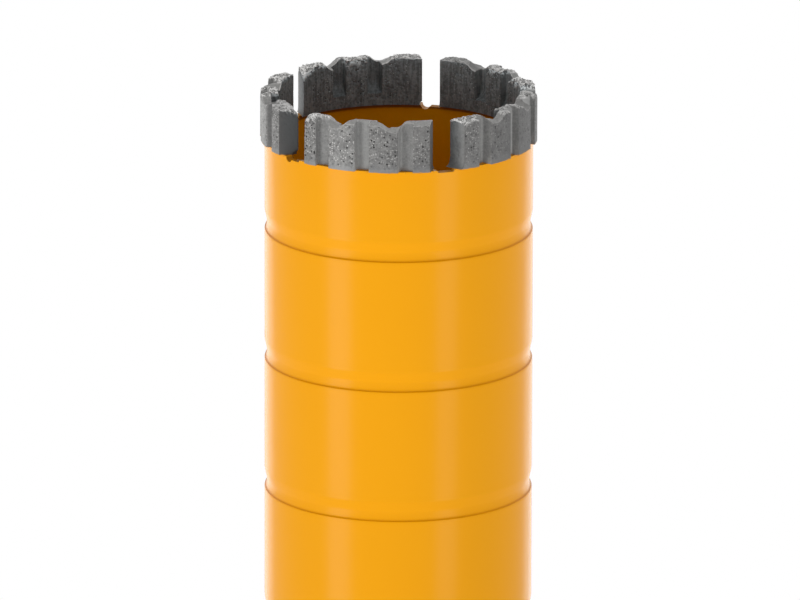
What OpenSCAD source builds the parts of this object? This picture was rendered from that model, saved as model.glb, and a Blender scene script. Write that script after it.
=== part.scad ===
// Diamond core bit: five wavy, meandering segments on a ringed steel barrel.
// It stands on the end face of its threaded coupling, with the crown up.
// The origin is the middle of that end face, and +Z runs up the axis to the crown.
// Segment 1 is the front one, near -Y, and the others follow anticlockwise seen from above.

/* [Barrel] */
// Outside diameter of the steel tube
tube_od = 60; // [56:1:70]
// Wall of the steel tube
tube_wall = 2; // [1.6:0.1:2.6]
// Length of the tube, from the end plate to the rim
tube_len = 170; // [100:5:400]

/* [Ring marks] */
// Height from one ring mark to the next
mark_pitch = 30; // [15:1:50]
// Distance from the rim down to the lower shoulder of the first mark
mark_first = 20.8; // [10:0.1:40]
// Depth of a mark
mark_depth = 0.5; // [0.2:0.05:0.9]
// Height of the level floor of a mark
mark_floor = 2.1; // [1:0.1:5]
// Height of the ramp above that floor
mark_ramp = 2.3; // [1:0.1:5]

/* [Segments] */
// Height of a segment, from the rim to the ridge of its pads
seg_h = 11.4; // [8:0.1:15]
// How far a segment stands proud of the tube, outside and inside
proud = 1; // [0.5:0.1:1.5]
// Fall of the top from its ridge, to the outside and to the inside
top_fall = 11; // [5:1:15]
// Width of a flute
flute_w = 3.1; // [1.5:0.1:3.6]
// Thickness of the wall that the flute in the middle leaves behind it
web = 2; // [1.5:0.1:2.6]
// Height of the plain foot under the flutes on the inside
foot_h = 2.8; // [1:0.1:4]
// Depth of a valley between two pads
valley_depth = 1.5; // [0.5:0.05:2.5]
// Width of a valley at the height of the pads
valley_w = 7; // [5:0.1:8]

/* [Water slots] */
// Width of a slot at the bore
slot_w = 4.1; // [3:0.1:4.6]
// Flare of each side of a slot towards the outside
slot_flare = 30; // [5:1:32]
// Depth that the bottom of a slot is let into the rim, with corners of that radius
slot_sink = 0.5; // [0.2:0.05:1]
// Radius of the notch that two of the slots have in one corner
notch_r = 1.1; // [0.5:0.1:1.3]

/* [End plate] */
// Thickness of the end plate
plate_t = 6; // [4:0.5:10]
// Height of the lip that centres the plate in the tube
lip_h = 4; // [2:0.5:8]
// Width of that lip
lip_w = 5; // [3:0.5:8]

/* [Coupling] */
// Outside diameter of the coupling
hub_od = 45; // [42:0.5:48]
// Length of the coupling, from its end face to the plate
hub_len = 31; // [29:1:45]
// Width across the wrench flats
flat_w = 41; // [38:0.5:41.5]
// Height of the wrench flats
flat_h = 14; // [8:1:18]
// Outside diameter of the drive thread
thread_d = 31.75; // [25:0.25:33]
// Depth of the drive thread
thread_len = 26; // [18:1:28]
// Diameter of the water hole
water_d = 16; // [10:1:20]
// Leg of the weld between the coupling and the plate
weld_leg = 3.5; // [2:0.5:5]

/* [Hidden] */
$fn = 64;

// Colours
orange = [0.95, 0.62, 0.07];
grey = [0.45, 0.45, 0.45];

// Clearance of what is centred in a bore
fit_gap = 0.1;
// How far a cut runs past what it cuts
past = 1;
// Chamfers
edge_ease = 1;
mouth_ease = 1.5;
seg_ease = 0.3;

// Radii that follow from the tube
tube_r = tube_od / 2;
bore_r = tube_r - tube_wall;
crown_r = tube_r + proud;
core_r = bore_r - proud;
crown_t = crown_r - core_r;
ridge_r = core_r + 0.4 * crown_t;

// Radii of the end plate and the coupling
lip_r = bore_r - fit_gap;
hub_r = hub_od / 2;
thread_r = thread_d / 2;
water_r = water_d / 2;
spigot_r = water_r + 4;

// Heights from the end face up
tube_z = hub_len + plate_t;
rim_z = tube_z + tube_len;

// Marks that fit between the rim and the lip of the end plate
mark_room = tube_len - mark_first - lip_h;
mark_count = 1 + floor(mark_room / mark_pitch);

// Every fourth flute and every third valley falls on a slot
seg_count = 5;
seg_turn = 360 / seg_count;
flute_turn = seg_turn / 4;
valley_turn = seg_turn / 3;
seg_1_at = -90 - 15.45;
flute_round = 0.4;

// A valley is a hollow arc between two round shoulders, tangent to both
valley_half = valley_w / 2;
arc_sum = (valley_half ^ 2 + valley_depth ^ 2) / (2 * valley_depth);
valley_r = 0.55 * arc_sum;
shoulder_r = arc_sum - valley_r;
arc_turn = asin(valley_half / arc_sum);
arc_steps = 6;

// Half the width of a slot, and how far a notch is from its middle
slot_half = slot_w / 2;
notch_off = 0.8 * slot_half;

// Share of a turn from segment 1 to each notched slot, and the side of the notch in it
NOTCHED = [[2.5, 1], [4.5, -1]];

// Turns its children to a place on the crown, where +X points outwards
module on_crown(turn) {
    rotate([0, 0, seg_1_at + turn])
        children();
}

// Cuts an outline of widths and heights radially through the wall of the crown
module through_wall() {
    translate([core_r - past, 0, 0])
        rotate([90, 0, 90])
            linear_extrude(crown_t + 2 * past)
                children();
}

// Points of an arc with its ends left out, from the first angle to the last
function arc(x, z, r, first, last) = [
    for (i = [1:arc_steps - 1])
        let (turn = first + (last - first) * i / arc_steps)
            [x + r * cos(turn), z + r * sin(turn)]
];

// Outline of what a slot takes from the rim, with the rim at zero
module slot_bottom() {
    flat_half = slot_half - slot_sink;
    polygon(concat(
        [[-slot_half, past], [-slot_half, 0]],
        arc(-flat_half, 0, slot_sink, 180, 270),
        [[-flat_half, -slot_sink], [flat_half, -slot_sink]],
        arc(flat_half, 0, slot_sink, 270, 360),
        [[slot_half, 0], [slot_half, past]]
    ));
}

// Plan of a slot between two segments, flaring outwards along +X
module flared_slot_plan() {
    mouth = slot_half + (crown_t + past) * tan(slot_flare);
    polygon([
        [core_r - past, -slot_half],
        [core_r, -slot_half],
        [crown_r + past, -mouth],
        [crown_r + past, mouth],
        [core_r, slot_half],
        [core_r - past, slot_half]
    ]);
}

// Plan of a flute that starts at its floor and opens along +X
module flute_plan() {
    reach = crown_t - web + past;
    half = flute_w / 2;
    translate([flute_round, -half])
        square([reach - flute_round, flute_w]);
    translate([0, flute_round - half])
        square([reach, flute_w - 2 * flute_round]);
    for (side = [-1, 1])
        translate([flute_round, side * (half - flute_round)])
            circle(flute_round);
}

// Flute through the whole height of a segment, opening along +X
module flute() {
    translate([0, 0, -past])
        linear_extrude(seg_h + 2 * past)
            flute_plan();
}

// Flute with its mouth at a turn from the middle of a segment, and its walls parallel to there
module flute_at(turn, mouth_r, way) {
    rotate([0, 0, turn])
        translate([mouth_r, 0, 0])
            rotate([0, 0, way - turn])
                translate([web - crown_t, 0, 0])
                    flute();
}

// Outline of a valley, with the height of the pads at zero
module valley_outline() {
    polygon(concat(
        [[-valley_half, 2 * past], [-valley_half, 0]],
        arc(-valley_half, -shoulder_r, shoulder_r, 90, 90 - arc_turn),
        arc(0, valley_r - valley_depth, valley_r, 270 - arc_turn, 270 + arc_turn),
        arc(valley_half, -shoulder_r, shoulder_r, 90 + arc_turn, 90),
        [[valley_half, 0], [valley_half, 2 * past]]
    ));
}

// Valley across the top of a segment, falling outwards and inwards from the ridge
module valley() {
    for (way = [0, 180])
        translate([ridge_r, 0, seg_h])
            rotate([0, 0, way])
                rotate([0, top_fall, 0])
                    translate([-past, 0, 0])
                        rotate([90, 0, 90])
                            linear_extrude(crown_t + past)
                                valley_outline();
}

// Half-round notch in the lower corner of a slot, with +Z at zero on the rim
module notches() {
    for (place = NOTCHED)
        on_crown(place[0] * seg_turn)
            through_wall()
                translate([place[1] * notch_off, 0])
                    circle(notch_r);
}

// Section of a segment, with a ridge along its top
module seg_section() {
    inner_h = seg_h - (ridge_r - core_r) * tan(top_fall);
    outer_h = seg_h - (crown_r - ridge_r) * tan(top_fall);
    polygon([
        [core_r, 0],
        [crown_r, 0],
        [crown_r, outer_h - seg_ease],
        [crown_r - seg_ease, outer_h],
        [ridge_r, seg_h],
        [core_r, inner_h]
    ]);
}

// Segment number i, brazed to the rim
module segment(i) {
    turn = (i - 1) * seg_turn;
    color(grey)
        translate([0, 0, rim_z])
            difference() {
                on_crown(turn - seg_turn / 2)
                    rotate_extrude(angle = seg_turn)
                        seg_section();
                for (side = [-1, 1]) {
                    on_crown(turn + side * seg_turn / 2)
                        translate([0, 0, -past])
                            linear_extrude(seg_h + 2 * past)
                                flared_slot_plan();
                    on_crown(turn + side * valley_turn / 2)
                        valley();
                    // Flutes on the inside, above the plain foot
                    on_crown(turn)
                        translate([0, 0, foot_h + past])
                            flute_at(side * flute_turn / 2, core_r, 180);
                }
                // Flutes on the outside, through the foot too
                for (place = [-1:1])
                    on_crown(turn)
                        flute_at(place * flute_turn, crown_r, 0);
                notches();
            }
}

// Outline of the ring mark with its lower shoulder at z, from the bottom up
function mark_outline(z) = [
    [tube_r, z],
    [tube_r - mark_depth, z],
    [tube_r - mark_depth, z + mark_floor],
    [tube_r, z + mark_floor + mark_ramp]
];

module barrel_tube() {
    lowest = rim_z - mark_first - (mark_count - 1) * mark_pitch;
    marks = [for (i = [0:mark_count - 1]) each mark_outline(lowest + i * mark_pitch)];
    color(orange)
        difference() {
            rotate_extrude()
                polygon(concat(
                    [[bore_r, rim_z], [bore_r, tube_z], [tube_r, tube_z]],
                    marks,
                    [[tube_r, rim_z]]
                ));
            translate([0, 0, rim_z]) {
                for (i = [1:seg_count])
                    on_crown((i - 0.5) * seg_turn)
                        through_wall()
                            slot_bottom();
                notches();
            }
        }
}

// Disc that closes the tube, with a lip inside it
module end_plate() {
    color(orange)
        translate([0, 0, hub_len])
            rotate_extrude()
                polygon([
                    [spigot_r, 0],
                    [tube_r - edge_ease, 0],
                    [tube_r, edge_ease],
                    [tube_r, plate_t],
                    [lip_r, plate_t],
                    [lip_r, plate_t + lip_h - edge_ease],
                    [lip_r - edge_ease, plate_t + lip_h],
                    [lip_r - lip_w, plate_t + lip_h],
                    [lip_r - lip_w, plate_t],
                    [spigot_r, plate_t]
                ]);
}

// Turned coupling with the weld that joins it to the plate
module coupling() {
    color(orange)
        difference() {
            rotate_extrude()
                polygon([
                    [thread_r + mouth_ease, 0],
                    [hub_r - edge_ease, 0],
                    [hub_r, edge_ease],
                    [hub_r, hub_len - weld_leg],
                    [hub_r + weld_leg, hub_len],
                    [spigot_r - fit_gap, hub_len],
                    [spigot_r - fit_gap, hub_len + plate_t],
                    [water_r, hub_len + plate_t],
                    [water_r, thread_len],
                    [thread_r, thread_len],
                    [thread_r, mouth_ease]
                ]);
            for (side = [0, 180])
                rotate([0, 0, side])
                    translate([flat_w / 2, -hub_r, -past])
                        cube([hub_r, hub_od, flat_h + past]);
        }
}

module diamond_segment_1() { segment(1); }
module diamond_segment_2() { segment(2); }
module diamond_segment_3() { segment(3); }
module diamond_segment_4() { segment(4); }
module diamond_segment_5() { segment(5); }

barrel_tube();
end_plate();
coupling();
diamond_segment_1();
diamond_segment_2();
diamond_segment_3();
diamond_segment_4();
diamond_segment_5();
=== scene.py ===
"""Dresses a diamond core bit: painted barrel, sintered segments and threaded coupling.

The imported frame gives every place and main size. The barrel and the segments are built again
with the detail that a camera sees, and the end plate and the coupling keep their own meshes.
Lengths are in metres, and angles in degrees unless a name says otherwise.
"""

from __future__ import annotations

import logging
import math
from dataclasses import dataclass, field
from enum import Enum
from typing import Any, Iterator, Mapping, Sequence

import bpy
import numpy as np
from mathutils import Matrix, Vector


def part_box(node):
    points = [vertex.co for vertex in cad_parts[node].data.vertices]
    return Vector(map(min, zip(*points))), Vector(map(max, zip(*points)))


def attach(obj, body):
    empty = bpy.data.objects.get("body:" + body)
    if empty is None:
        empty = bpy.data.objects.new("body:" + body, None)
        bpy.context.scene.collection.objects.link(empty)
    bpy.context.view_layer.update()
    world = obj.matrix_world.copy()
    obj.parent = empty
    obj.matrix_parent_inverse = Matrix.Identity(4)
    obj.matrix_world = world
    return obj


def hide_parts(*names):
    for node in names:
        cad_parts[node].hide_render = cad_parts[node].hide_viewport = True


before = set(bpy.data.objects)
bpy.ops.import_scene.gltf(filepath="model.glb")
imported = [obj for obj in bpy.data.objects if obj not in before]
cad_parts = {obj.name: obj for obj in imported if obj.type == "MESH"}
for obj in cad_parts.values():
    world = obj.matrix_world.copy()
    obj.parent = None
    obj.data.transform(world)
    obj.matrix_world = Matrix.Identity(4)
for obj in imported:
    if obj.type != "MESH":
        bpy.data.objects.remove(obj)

LOG = logging.getLogger("core_bit")
MM = 0.001
ROOT = "root"

Colour = tuple[float, float, float]
Point = tuple[float, float, float]
Pair = tuple[float, float]
Profile = tuple[Pair, ...]


class Op(Enum):
    """Operations of a Math node that this scene uses."""

    ADD = "ADD"
    SUBTRACT = "SUBTRACT"
    MULTIPLY = "MULTIPLY"
    DIVIDE = "DIVIDE"
    MAXIMUM = "MAXIMUM"
    MINIMUM = "MINIMUM"
    POWER = "POWER"
    FRACTION = "FRACT"


class Value:
    """A node's output, with arithmetic that adds Math nodes."""

    def __init__(self, graph: "Graph", socket: bpy.types.NodeSocket) -> None:
        """Keeps the socket and the graph that it is in."""
        self.graph = graph
        self.socket = socket

    def __add__(self, other: "Value | float") -> "Value":
        """Sum of this and other."""
        return self.graph.math(Op.ADD, self, other)

    def __radd__(self, other: float) -> "Value":
        """Sum of other and this."""
        return self.graph.math(Op.ADD, other, self)

    def __sub__(self, other: "Value | float") -> "Value":
        """This less other."""
        return self.graph.math(Op.SUBTRACT, self, other)

    def __rsub__(self, other: float) -> "Value":
        """Other less this."""
        return self.graph.math(Op.SUBTRACT, other, self)

    def __mul__(self, other: "Value | float") -> "Value":
        """Product of this and other."""
        return self.graph.math(Op.MULTIPLY, self, other)

    def __rmul__(self, other: float) -> "Value":
        """Product of other and this."""
        return self.graph.math(Op.MULTIPLY, other, self)

    def __truediv__(self, other: "Value | float") -> "Value":
        """This divided by other."""
        return self.graph.math(Op.DIVIDE, self, other)


class Graph:
    """Adds nodes to one shader tree or geometry tree."""

    def __init__(self, tree: bpy.types.NodeTree) -> None:
        """Keeps the tree."""
        self.tree = tree

    def add(
        self,
        kind: str,
        settings: Mapping[str, Any] | None = None,
        sockets: Mapping[str | int, Any] | None = None,
    ) -> bpy.types.Node:
        """Adds a node, sets its settings, and then fills or links its sockets.

        Args:
            kind: Type of the node.
            settings: Properties of the node.
            sockets: Value or link for each input, by name or number.

        Returns:
            The new node.
        """
        node = self.tree.nodes.new(kind)
        for name, value in (settings or {}).items():
            setattr(node, name, value)
        for key, value in (sockets or {}).items():
            if isinstance(value, Value):
                self.tree.links.new(value.socket, node.inputs[key])
            else:
                node.inputs[key].default_value = value
        return node

    def value(
        self,
        kind: str,
        settings: Mapping[str, Any] | None = None,
        sockets: Mapping[str | int, Any] | None = None,
        output: str | int = 0,
    ) -> Value:
        """Adds a node as add does, and wraps one of its outputs."""
        return Value(self, self.add(kind, settings, sockets).outputs[output])

    def math(self, operation: Op, first: Value | float, second: Value | float = 0.0) -> Value:
        """Result of a Math node."""
        return self.value("ShaderNodeMath", {"operation": operation.value}, {0: first, 1: second})

    def between(self, value: Value, low: float, high: float) -> Value:
        """Smooth step from 0 at low to 1 at high, which falls where low is above high."""
        ends = {"Value": value, "From Min": low, "From Max": high}
        return self.value("ShaderNodeMapRange", {"interpolation_type": "SMOOTHSTEP"}, ends)

    def mix(self, factor: Value | float, first: Any, second: Any, blend: str = "MIX") -> Value:
        """Colour between two colours.

        Args:
            factor: 0 for the first colour and 1 for the second.
            first: Wrapped colour, or red, green and blue.
            second: Wrapped colour, or red, green and blue.
            blend: How the second colour meets the first.

        Returns:
            The wrapped colour.
        """
        first, second = (c if isinstance(c, Value) else (*c, 1.0) for c in (first, second))
        sockets = {"Factor": factor, 6: first, 7: second}
        return self.value("ShaderNodeMix", {"data_type": "RGBA", "blend_type": blend}, sockets, 2)

    def scaled(self, place: Value, factors: Point) -> Value:
        """Place with each coordinate multiplied by a factor."""
        sockets = {0: place, 1: factors}
        return self.value("ShaderNodeVectorMath", {"operation": "MULTIPLY"}, sockets)

    def noise(self, place: Value, size: float, detail: float = 2.0, rough: float = 0.5) -> Value:
        """Noise around 0.5 at a place, in waves of a size."""
        sockets = {"Vector": place, "Scale": 1 / size, "Detail": detail, "Roughness": rough}
        return self.value("ShaderNodeTexNoise", None, sockets)

    def cells(self, place: Value, size: float) -> tuple[Value, Value]:
        """Distance from the middle of a scattered cell, and a number of the cell's own.

        Args:
            place: Wrapped coordinates.
            size: Width of a cell.

        Returns:
            The wrapped distance, in cells, and the wrapped number from 0 to 1.
        """
        node = self.add("ShaderNodeTexVoronoi", None, {"Vector": place, "Scale": 1 / size})
        colour = Value(self, node.outputs["Color"])
        chance = self.value("ShaderNodeSeparateXYZ", None, {0: colour})
        return Value(self, node.outputs["Distance"]), chance

    def axes(self, place: Value) -> tuple[Value, ...]:
        """The three coordinates of a place."""
        node = self.add("ShaderNodeSeparateXYZ", None, {0: place})
        return tuple(Value(self, output) for output in node.outputs)

    def radius(self, place: Value) -> Value:
        """Distance of a place from the bit's axis."""
        x, y, _ = self.axes(place)
        return self.math(Op.POWER, x * x + y * y, 0.5)


def spaced(values: Mapping[str, Any]) -> dict[str, Any]:
    """The same values, with a space for each underscore in their names."""
    return {name.replace("_", " "): value for name, value in values.items()}


class Surface(Graph):
    """Shader tree of a new material, with one Principled shader."""

    def __init__(self, name: str, **fixed: Any) -> None:
        """Makes the material.

        Args:
            name: Name of the material.
            fixed: Values that are the same all over, by socket name with underscores.
        """
        self.material = bpy.data.materials.new(name)
        self.material.use_nodes = True
        super().__init__(self.material.node_tree)
        self.shader = self.tree.nodes["Principled BSDF"]
        for key, value in spaced(fixed).items():
            self.shader.inputs[key].default_value = value
        self.place = self.value("ShaderNodeTexCoord", output="Object")

    def feed(self, key: str, value: Value) -> None:
        """Links a value to one of the shader's inputs."""
        self.tree.links.new(value.socket, self.shader.inputs[key])

    def bump(self, height: Value, distance: float, strength: float) -> None:
        """Roughens the surface, where a height of 1 stands a distance above one of 0."""
        sockets = {"Strength": strength, "Distance": distance, "Height": height}
        self.feed("Normal", self.value("ShaderNodeBump", None, sockets))

    def attribute(self, name: str) -> Value:
        """Number that a mesh stores under a name."""
        return self.value("ShaderNodeAttribute", {"attribute_name": name}, output="Fac")


class Tool(Graph):
    """A Geometry Nodes tree with named inputs, whose result becomes a plain mesh."""

    def __init__(self, name: str, **numbers: float) -> None:
        """Makes the tree with an input for each number.

        Args:
            name: Name of the tree.
            numbers: Inputs and what they are, by name with underscores.
        """
        super().__init__(bpy.data.node_groups.new(name, "GeometryNodeTree"))
        self.numbers = spaced(numbers)
        kinds = {int: "Int", float: "Float"}
        sockets = {"Geometry": "Geometry", "Finish": "Material"}
        sockets |= {key: kinds[type(value)] for key, value in self.numbers.items()}
        new_socket = self.tree.interface.new_socket
        for key, kind in sockets.items():
            new_socket(key, in_out="INPUT", socket_type=f"NodeSocket{kind}")
        new_socket("Result", in_out="OUTPUT", socket_type="NodeSocketGeometry")
        group = self.add("NodeGroupInput")
        self.inputs = {out.name: Value(self, out) for out in group.outputs if out.name}
        self.place = self.value("GeometryNodeInputPosition")

    def close(self, geometry: Value) -> None:
        """Ends the tree in Realize Instances and Set Material.

        Args:
            geometry: Wrapped geometry that the tree has made.
        """
        real = self.value("GeometryNodeRealizeInstances", None, {0: geometry})
        sockets = {"Geometry": real, "Material": self.inputs["Finish"]}
        dressed = self.value("GeometryNodeSetMaterial", None, sockets)
        self.add("NodeGroupOutput", None, {0: dressed})

    def run(
        self, name: str, mesh: bpy.types.Mesh, finish: bpy.types.Material, **numbers: float
    ) -> bpy.types.Object:
        """Runs the tree on a mesh and keeps the result as a plain mesh.

        Args:
            name: Name of the new piece.
            mesh: Mesh that the tree starts from.
            finish: Material of the result.
            numbers: Inputs that differ from the tool's own, by name with underscores.

        Returns:
            A new object with no modifier.
        """
        piece = new_piece(name, mesh)
        modifier = piece.modifiers.new(self.tree.name, "NODES")
        modifier.node_group = self.tree
        wanted = self.numbers | spaced(numbers) | {"Finish": finish}
        for item in self.tree.interface.items_tree:
            if item.in_out == "INPUT" and item.name in wanted:
                modifier[item.identifier] = wanted[item.name]
        piece.update_tag()
        graph = bpy.context.evaluated_depsgraph_get()
        result = bpy.data.meshes.new_from_object(piece.evaluated_get(graph), depsgraph=graph)
        piece.modifiers.clear()
        piece.data = result
        result.name = name
        return piece


def new_piece(name: str, mesh: bpy.types.Mesh) -> bpy.types.Object:
    """Puts a mesh in the scene as an object at the origin.

    Args:
        name: Name of the piece.
        mesh: Mesh with its place in its vertices.

    Returns:
        The new object.
    """
    piece = bpy.data.objects.new(name, mesh)
    bpy.context.scene.collection.objects.link(piece)
    return piece


def new_mesh(
    name: str, points: Sequence[Point], faces: Sequence[Sequence[int]], edges: Sequence = ()
) -> bpy.types.Mesh:
    """Mesh from its points and faces.

    Args:
        name: Name of the mesh.
        points: Places of the vertices.
        faces: Vertices of each face.
        edges: Vertices of each loose edge.

    Returns:
        The new mesh.
    """
    mesh = bpy.data.meshes.new(name)
    mesh.from_pydata(points, edges, faces)
    mesh.update()
    return mesh


def bridged(rings: Sequence[Sequence[int]], closed: bool = True) -> list[list[int]]:
    """Faces between rings of points, each joined to the next.

    Args:
        rings: Numbers of the points in each ring.
        closed: Whether a ring's last point is joined to its first.

    Returns:
        The faces.
    """
    faces = []
    for here, there in zip(rings, rings[1:]):
        for i in range(len(here) if closed else len(here) - 1):
            k = (i + 1) % len(here)
            faces.append([here[i], here[k], there[k], there[i]])
    return faces


def shade(mesh: bpy.types.Mesh, angle: float) -> None:
    """Shades a mesh smooth, with sharp edges past an angle."""
    mesh.shade_smooth()
    mesh.set_sharp_from_angle(angle=math.radians(angle))


def polar(radius: float, angle: float, height: float) -> Point:
    """Point at an angle from -Y towards +X."""
    turn = math.radians(angle)
    return radius * math.sin(turn), -radius * math.cos(turn), height


def keep(piece: bpy.types.Object, slot: str, *nodes: str) -> None:
    """Makes a finished piece part of the bit.

    Args:
        piece: The piece.
        slot: Name of a material slot of the record; not used.
        nodes: CAD nodes that it stands for.
    """
    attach(piece, ROOT)
    if nodes:
        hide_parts(*nodes)
    LOG.info("%s: %d faces", piece.name, len(piece.data.polygons))


@dataclass(frozen=True)
class Paint:
    """Orange enamel, sprayed on the barrel and the drive end.

    Depths run inwards from the outside and drops down from the rim. Each pair says where a
    mask starts and where it is full.
    """

    colour: Colour = (0.91, 0.378, 0.0015)
    deep: Colour = (0.89, 0.366, 0.001)
    steel: Colour = (0.5, 0.49, 0.47)
    # Brown of brazing heat, also painted shade in the slot bottoms, at the top of the bore and
    # under the feet.
    braze_tint_and_shade: Colour = (0.34, 0.115, 0.012)
    roughness: float = 0.22
    cloud_dull: float = 0.06
    peel_dull: float = 0.08
    braze_tint_and_shade_dull: float = 0.5
    gloss: float = 0.1
    cloud: float = 22 * MM
    peel: float = 1.1 * MM
    peel_height: float = 0.01 * MM
    peel_strength: float = 0.4
    spot: float = 0.9 * MM
    spot_height: float = 0.25 * MM
    bore_depth: Pair = (1.6 * MM, 1.8 * MM)
    bore_drop: Pair = (1.15 * MM, 0.6 * MM)
    slot_depth: Pair = (0.02 * MM, 0.1 * MM)
    slot_drop: Pair = (0.16 * MM, 0.36 * MM)
    slot_share: float = 0.45
    speck_drop: Pair = (0.55 * MM, 0.2 * MM)
    speck_mask: Pair = (0.52, 0.64)
    speck_share: float = 0.4
    bare_edge: float = 0.1 * MM
    bare_wave: float = 4 * MM

    def coat(self, name: str) -> tuple[Surface, Value, Value]:
        """Plain enamel with a faint cloudiness.

        Args:
            name: Name of the material.

        Returns:
            The new surface, and its wrapped clouds and colour.
        """
        skin = Surface(name, Specular_IOR_Level=self.gloss)
        cloud = skin.noise(skin.place, self.cloud, 3.0)
        return skin, cloud, skin.mix(cloud, self.colour, self.deep)

    def barrel(self, name: str, rim: float, outer_r: float) -> bpy.types.Material:
        """Enamel with orange peel, darkened where the segments were brazed on: a braze tint, with
        painted shade in the slot bottoms, at the top of the bore and in specks under the segments'
        feet.

        Args:
            name: Name of the material.
            rim: Height of the rim.
            outer_r: Radius of the outside.

        Returns:
            The new material.
        """
        skin, _, paint = self.coat(name)
        spots = skin.noise(skin.place, self.spot, 3.0, 0.6)
        drop = rim - skin.axes(skin.place)[2] - (spots - 0.5) * self.spot_height
        depth = outer_r - skin.radius(skin.place)
        bore = skin.between(depth, *self.bore_depth)
        slot = skin.between(depth, *self.slot_depth) * skin.between(drop, *self.slot_drop)
        inner = skin.math(Op.MAXIMUM, bore, slot * self.slot_share)
        # Braze tint with painted shade: specks just under the rim, and a band at the top of the
        # bore and in the slot bottoms.
        specks = skin.between(drop, *self.speck_drop) * skin.between(spots, *self.speck_mask)
        braze_tint_and_shade = skin.between(drop, *self.bore_drop) * inner
        braze_tint_and_shade = skin.math(Op.MAXIMUM, braze_tint_and_shade, specks * self.speck_share)
        skin.feed("Base Color", skin.mix(braze_tint_and_shade, paint, self.braze_tint_and_shade))
        peel = skin.noise(skin.place, self.peel)
        dull = self.roughness + (peel - 0.5) * self.peel_dull + braze_tint_and_shade * self.braze_tint_and_shade_dull
        skin.feed("Roughness", dull)
        skin.bump(peel, self.peel_height, self.peel_strength)
        return skin.material

    def coupling(self, name: str, bore: float, face: float) -> bpy.types.Material:
        """Enamel that leaves the thread and the end face bare.

        Args:
            name: Name of the material.
            bore: Radius inside which the steel is bare.
            face: Height under which the steel is bare.

        Returns:
            The new material.
        """
        skin, cloud, paint = self.coat(name)
        wave = (skin.noise(skin.place, self.bare_wave) - 0.5) * 3 * self.bare_edge
        height = skin.axes(skin.place)[2] + wave
        inside = skin.between(skin.radius(skin.place), bore + self.bare_edge, bore)
        under = skin.between(height, face + self.bare_edge, face)
        bare = skin.math(Op.MAXIMUM, inside, under)
        skin.feed("Base Color", skin.mix(bare, paint, self.steel))
        skin.feed("Metallic", bare)
        skin.feed("Roughness", self.roughness + cloud * self.cloud_dull)
        return skin.material


@dataclass(frozen=True)
class Steel:
    """Bare cut steel of the thread."""

    colour: Colour = (0.5, 0.49, 0.47)
    stain: Colour = (0.36, 0.35, 0.33)
    cloud: float = 5 * MM
    roughness: float = 0.34
    stain_dull: float = 0.12

    def thread(self, name: str) -> bpy.types.Material:
        """Cut steel with faint stains.

        Args:
            name: Name of the material.

        Returns:
            The new material.
        """
        skin = Surface(name, Metallic=1.0)
        cloud = skin.noise(skin.place, self.cloud, 3.0)
        skin.feed("Base Color", skin.mix(cloud, self.colour, self.stain))
        skin.feed("Roughness", self.roughness + cloud * self.stain_dull)
        return skin.material


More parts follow.
